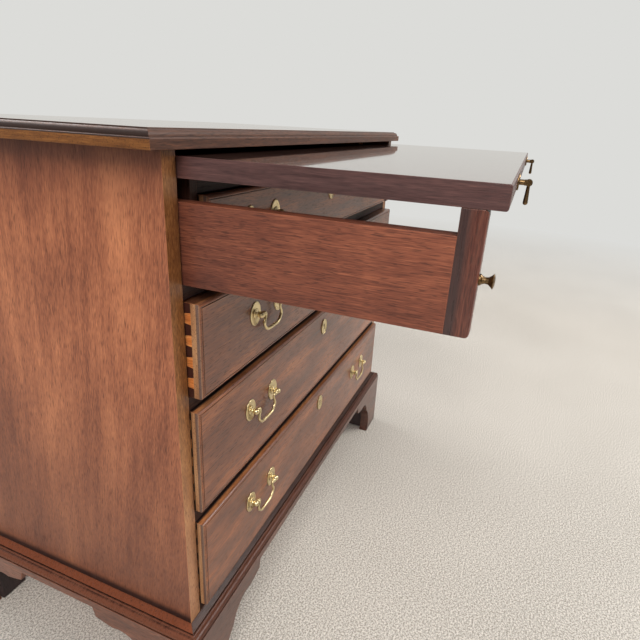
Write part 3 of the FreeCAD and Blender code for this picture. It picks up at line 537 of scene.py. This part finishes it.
# ---- brass handles, in millimetres ----
HANDLE_X = 231.3
POST_SPREAD = 63.6
FRONT_T = 20.0
POST_REACH = 8.9
ROSETTE_W = 25.0
ROSETTE_H = 32.0
ROSETTE_DOWN = {"top": 35.0, "upper": 47.4, "middle": 58.9, "lower": 56.1}
PLATE_UP = {"top": 12.0, "upper": 12.0, "middle": 30.5, "lower": 30.5}
PLATE_W = 22.0
PLATE_H = 29.0
PLATE_T = 1.4
PLATE_FALL = 8.5 / 3        # middle of an escutcheon below its keyhole
RIMS = ((1.0, 0.84, 0.6), (0.56, 0.46, 0.3))    # outside and inside, as shares of the plate; height
RIM_FOOT = -0.3             # how far a rim goes into its plate
RIM_EASE = 0.01             # how far its walls lean, as a share of the plate
ROUND_POINTS = 40
STUD_POINTS = 16
NUT_POINTS = 8
WIRE_POINTS = 20
ROSETTE = [                 # share of the oval's half size, and height above the drawer front
    (0.0, 0.0), (1.0, 0.0), (1.0, 0.7), (0.97, 1.15), (0.91, 1.45), (0.86, 1.45), (0.82, 1.15),
    (0.78, 1.05), (0.4, 1.3), (0.0, 1.3),
]
POST = [                    # radius and height above the drawer front
    (0.0, 1.1), (6.6, 1.1), (6.8, 1.6), (6.2, 2.1), (4.9, 2.4), (4.4, 2.5), (3.6, 2.8), (2.9, 3.3),
    (2.7, 3.8), (3.2, 4.3), (3.3, 4.6), (2.9, 4.9), (3.2, 5.6), (3.9, 6.7), (4.3, 8.0), (4.3, 9.2),
    (4.0, 10.5), (3.3, 11.7), (2.3, 12.6), (1.2, 13.1), (0.0, 13.2),
]
STUD = [                    # radius and distance behind the drawer front's face
    (0.0, 0.0), (2.0, 0.0), (2.0, 22.6), (1.7, 23.3), (0.9, 23.5), (0.0, 23.5),
]
NUT = [                     # radius and distance behind the drawer front's back
    (0.0, 0.0), (3.6, 0.0), (4.2, 0.5), (4.2, 3.0), (3.6, 3.5), (0.0, 3.5),
]
BAIL_RIGHT = [              # how far out and how far down each point lies, and the radius there
    (31.0, 0.0, 1.5), (27.4, 0.0, 1.5), (26.9, 0.0, 2.7), (25.8, 0.1, 3.2), (24.0, 0.2, 3.1),
    (22.4, 0.5, 2.5), (20.9, 1.3, 1.95), (20.0, 2.8, 1.7), (20.0, 4.7, 1.6), (20.9, 7.2, 1.65),
    (22.4, 10.0, 1.75), (23.6, 13.2, 1.85), (23.4, 16.3, 1.95), (21.6, 19.4, 2.0), (18.8, 22.3, 2.05),
    (15.4, 24.6, 2.05), (11.0, 25.5, 2.05), (5.0, 25.6, 2.1),
]
SMOOTH_STEPS = 3


def new_piece(name, verts, faces, body, nodes=()):
    """A smooth brass mesh, drawn in millimetres, that rides on a body and may stand for CAD
    nodes."""
    mesh = bpy.data.meshes.new(name)
    mesh.from_pydata([tuple(MM * part for part in vert) for vert in verts], [], faces)
    sheet = bmesh.new()
    sheet.from_mesh(mesh)
    bmesh.ops.recalc_face_normals(sheet, faces=sheet.faces)
    sheet.to_mesh(mesh)
    sheet.free()
    for face in mesh.polygons:
        face.use_smooth = True
    mesh.materials.append(BRASS)
    piece = bpy.data.objects.new(name, mesh)
    bpy.context.scene.collection.objects.link(piece)
    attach(piece, body)
    if nodes:
        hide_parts(*nodes)


def rings(verts, faces, loops):
    """Join closed loops of points, each to the next. A loop of one point closes that end."""
    rows = []
    for loop in loops:
        rows.append(range(len(verts), len(verts) + len(loop)))
        verts.extend(loop)
    for row, following in zip(rows, rows[1:]):
        count = max(len(row), len(following))
        for index in range(count):
            after = (index + 1) % count
            corners = [row[index % len(row)], row[after % len(row)], following[after % len(following)],
                       following[index % len(following)]]
            faces.append(list(dict.fromkeys(corners)))


def circle_turns(count):
    """Angles of points that lie evenly round a circle."""
    return [2 * math.pi * index / count for index in range(count)]


def oval(centre, half_x, half_z, count=ROUND_POINTS):
    """Upright ring of points about centre, or centre alone where it has no width."""
    if not half_x:
        return [tuple(centre)]
    return [(centre.x + half_x * math.cos(turn), centre.y, centre.z + half_z * math.sin(turn))
            for turn in circle_turns(count)]


def front_place(which, x, down):
    """Point on a drawer's face, across from the middle and down from the front's top edge."""
    low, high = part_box(f"{which}_drawer_front")
    return Vector((x, low[Y] / MM, high[Z] / MM - down))


def turned(verts, faces, at, profile, half_x=1.0, half_z=1.0, count=ROUND_POINTS):
    """Turned form in front of a place, from pairs of a radius and a height. half_x and half_z
    stretch its radius."""
    rings(verts, faces, [oval(at - Vector((0, height, 0)), radius * half_x, radius * half_z, count)
                         for radius, height in profile])


def post_set(which):
    """Rosettes, turned posts, studs and nuts of one drawer."""
    verts, faces = [], []
    for x in (-HANDLE_X, HANDLE_X):
        for end in (-POST_SPREAD / 2, POST_SPREAD / 2):
            at = front_place(which, x + end, ROSETTE_DOWN[which])
            turned(verts, faces, at, ROSETTE, ROSETTE_W / 2, ROSETTE_H / 2)
            turned(verts, faces, at, POST)
            turned(verts, faces, at, [(radius, -back) for radius, back in STUD], count=STUD_POINTS)
            turned(verts, faces, at, [(radius, -FRONT_T - back) for radius, back in NUT], count=NUT_POINTS)
    new_piece(f"{which}_handle_posts", verts, faces, f"{which}_drawer", [f"{which}_drawer_posts"])


def eased_path(points):
    """Catmull-Rom points along a run of (x, down, radius), with both of its ends kept."""
    padded = [points[0]] + list(points) + [points[-1]]
    path = []
    for before, here, after, beyond in zip(padded, padded[1:], padded[2:], padded[3:]):
        for step in range(SMOOTH_STEPS):
            t = step / SMOOTH_STEPS
            path.append(tuple(
                0.5 * (2 * b + (c - a) * t + (2 * a - 5 * b + 4 * c - d) * t ** 2
                       + (3 * b - a - 3 * c + d) * t ** 3)
                for a, b, c, d in zip(before, here, after, beyond)))
    return path + [points[-1]]


def bail(which, hand, x):
    """Swan-neck bail, thick at its ends and thin at its necks, that hangs between two posts."""
    pivot = front_place(which, x, ROSETTE_DOWN[which]) - Vector((0, POST_REACH, 0))
    away = Vector((0, 1, 0))
    run = eased_path(BAIL_RIGHT + [(-out, drop, radius) for out, drop, radius in reversed(BAIL_RIGHT)])
    middles = [pivot + Vector((out, 0, -drop)) for out, drop, radius in run]
    loops = [[tuple(middles[0])]]
    for index, (middle, (out, drop, radius)) in enumerate(zip(middles, run)):
        ahead = middles[min(index + 1, len(middles) - 1)] - middles[max(index - 1, 0)]
        side = ahead.cross(away).normalized()
        loops.append([tuple(middle + radius * (side * math.cos(turn) + away * math.sin(turn)))
                      for turn in circle_turns(WIRE_POINTS)])
    loops.append([tuple(middles[-1])])
    verts, faces = [], []
    rings(verts, faces, loops)
    new_piece(f"{which}_handle_bail_{hand}", verts, faces, f"{which}_bail_{hand}",
              [f"{which}_drawer_bail_{hand}"])


def escutcheon_rim(which):
    """Raised rim and inner step on an escutcheon, each closed by its first ring once more."""
    at = front_place(which, 0, ROSETTE_DOWN[which] - PLATE_UP[which] + PLATE_FALL)
    verts, faces = [], []
    for outer, inner, height in RIMS:
        section = [(outer, RIM_FOOT), (outer - RIM_EASE, height * 0.5), (outer * 0.6 + inner * 0.4, height),
                   (outer * 0.4 + inner * 0.6, height), (inner + RIM_EASE, height * 0.5), (inner, RIM_FOOT),
                   (outer, RIM_FOOT)]
        turned(verts, faces, at, [(share, PLATE_T + lift) for share, lift in section],
               PLATE_W / 2, PLATE_H / 2)
    new_piece(f"{which}_escutcheon_rim", verts, faces, f"{which}_drawer")


def make_handles():
    for which in DRAWERS:
        post_set(which)
        for hand, way in zip(HANDS, (-1, 1)):
            bail(which, hand, way * HANDLE_X)
        escutcheon_rim(which)


# ---- floor, light and camera ----
BACKDROP = srgb(220, 220, 217)
FLOOR_SIZE = 24.0
FLOOR_ROUGHNESS = 0.75
SPECK_RATE = 340
SPECK_DETAIL = 4.0
SPECK_ROUGHNESS = 0.8
CLOUD_RATE = 2.4
CLOUD_SHARE = 0.05
SPECK_START, SPECK_WHOLE = 0.44, 0.56       # levels of noise at the dark and the pale shade
FLOOR_DARK = srgb(146, 139, 129)
FLOOR_PALE = srgb(217, 210, 200)
FADE_START, FADE_WHOLE = 1.7, 4.0           # where the floor turns into the backdrop, in metres
ROOM_TOWARD = (0.55, 0.6, 0.58)             # the room's pale side, as gloss shows it
ROOM_DARK = srgb(74, 66, 58)
ROOM_PALE = srgb(208, 206, 201)
ROOM_PALE_FROM = 0.75
SKY = (0.93, 0.96, 1.0, 1.0)
SKY_STRENGTH = 0.6
WARM = (1.0, 0.98, 0.95)
WHITE = (1.0, 1.0, 1.0)
LAMP_AIM = Vector((0.0, 0.0, 0.4))
LAMPS = (                   # name, place, size in metres, watts and colour
    ("key", (2.6, -3.9, 4.0), 2.8, 230.0, WARM),
    ("fill", (-2.3, -0.9, 2.6), 1.8, 75.0, WARM),
    ("back", (0.5, 2.6, 2.2), 2.2, 40.0, WHITE),
)
CAMERA_AT = Vector((-0.77286, -0.37250, 0.77015))
CAMERA_RIGHT = Vector((0.377901, -0.924526, 0.049420))
CAMERA_UP = Vector((0.322769, 0.181585, 0.928896))
CAMERA_BACK = Vector((-0.867762, -0.335079, 0.367029))
SENSOR = 36.0
LENS = 27.91
NEAREST = 0.01


def floor_material():
    """Pale speckled floor that fades into the backdrop, for the camera alone."""
    s = Shader("pale_floor")
    speck = s.noise(s.moved((SPECK_RATE,) * 3), SPECK_DETAIL, SPECK_ROUGHNESS)
    cloud = s.noise(s.moved((CLOUD_RATE,) * 3))
    level = s.math("ADD", s.math("MULTIPLY", speck, 1.0 - CLOUD_SHARE),
                   s.math("MULTIPLY", cloud, CLOUD_SHARE))
    colour = s.ramp(s.span(level, SPECK_START, SPECK_WHOLE), [(0.0, FLOOR_DARK), (1.0, FLOOR_PALE)])
    s.finish(Base_Color=colour, Roughness=FLOOR_ROUGHNESS)
    far = s.vector_math("LENGTH", s.coords).outputs["Value"]
    seen = s.node("ShaderNodeLightPath").outputs["Is Camera Ray"]
    faded = s.math("MULTIPLY", s.span(far, FADE_START, FADE_WHOLE), seen)
    glow = s.node("ShaderNodeEmission", Color=BACKDROP, Strength=1.0)
    blend = s.choose(faded, s.bsdf.outputs[0], glow.outputs[0])
    s.put(s.tree.nodes["Material Output"].inputs["Surface"], blend)
    return s.material


def make_floor():
    mesh = bpy.data.meshes.new("floor")
    half = FLOOR_SIZE / 2
    corners = [(-half, -half, 0), (half, -half, 0), (half, half, 0), (-half, half, 0)]
    mesh.from_pydata(corners, [], [(0, 1, 2, 3)])
    mesh.materials.append(floor_material())
    floor = bpy.data.objects.new("floor", mesh)
    bpy.context.scene.collection.objects.link(floor)


def make_world():
    """Pale backdrop for the camera, soft light for the rest, and for gloss a room that is
    pale behind the chest and above it and darker in front."""
    world = bpy.data.worlds.new("studio")
    bpy.context.scene.world = world
    world.use_nodes = True
    g = Graph(world.node_tree)

    def background(colour, strength=1.0):
        return g.node("ShaderNodeBackground", Color=colour, Strength=strength).outputs[0]

    way = g.node("ShaderNodeTexCoord").outputs["Generated"]
    toward = g.vector_math("DOT_PRODUCT", way, ROOM_TOWARD).outputs["Value"]
    room = g.ramp(g.span(toward, -1.0, 1.0), [(0.0, ROOM_DARK), (ROOM_PALE_FROM, ROOM_PALE)])
    path = g.node("ShaderNodeLightPath").outputs
    glossy = g.choose(path["Is Glossy Ray"], background(SKY, SKY_STRENGTH), background(room))
    seen = g.choose(path["Is Camera Ray"], glossy, background(BACKDROP))
    g.put(g.tree.nodes["World Output"].inputs["Surface"], seen)


def area_light(name, place, size, watts, colour):
    data = bpy.data.lights.new(name, "AREA")
    data.shape = "DISK"
    data.size = size
    data.energy = watts
    data.color = colour
    lamp = bpy.data.objects.new(name, data)
    lamp.location = place
    lamp.rotation_euler = (LAMP_AIM - Vector(place)).to_track_quat("-Z", "Y").to_euler()
    bpy.context.scene.collection.objects.link(lamp)


def make_camera():
    data = bpy.data.cameras.new("camera")
    data.sensor_width = SENSOR
    data.sensor_fit = "HORIZONTAL"
    data.lens = LENS
    data.clip_start = NEAREST
    camera = bpy.data.objects.new("camera", data)
    turn = Matrix((CAMERA_RIGHT, CAMERA_UP, CAMERA_BACK)).transposed()
    camera.matrix_world = Matrix.Translation(CAMERA_AT) @ turn.to_4x4()
    bpy.context.scene.collection.objects.link(camera)
    bpy.context.scene.camera = camera


dress_case()
dress_drawers()
dress_slide_and_lopers()
dress_fittings()
make_handles()
make_floor()
make_world()
for lamp in LAMPS:
    area_light(*lamp)
make_camera()
bpy.context.scene.view_settings.view_transform = "Standard"
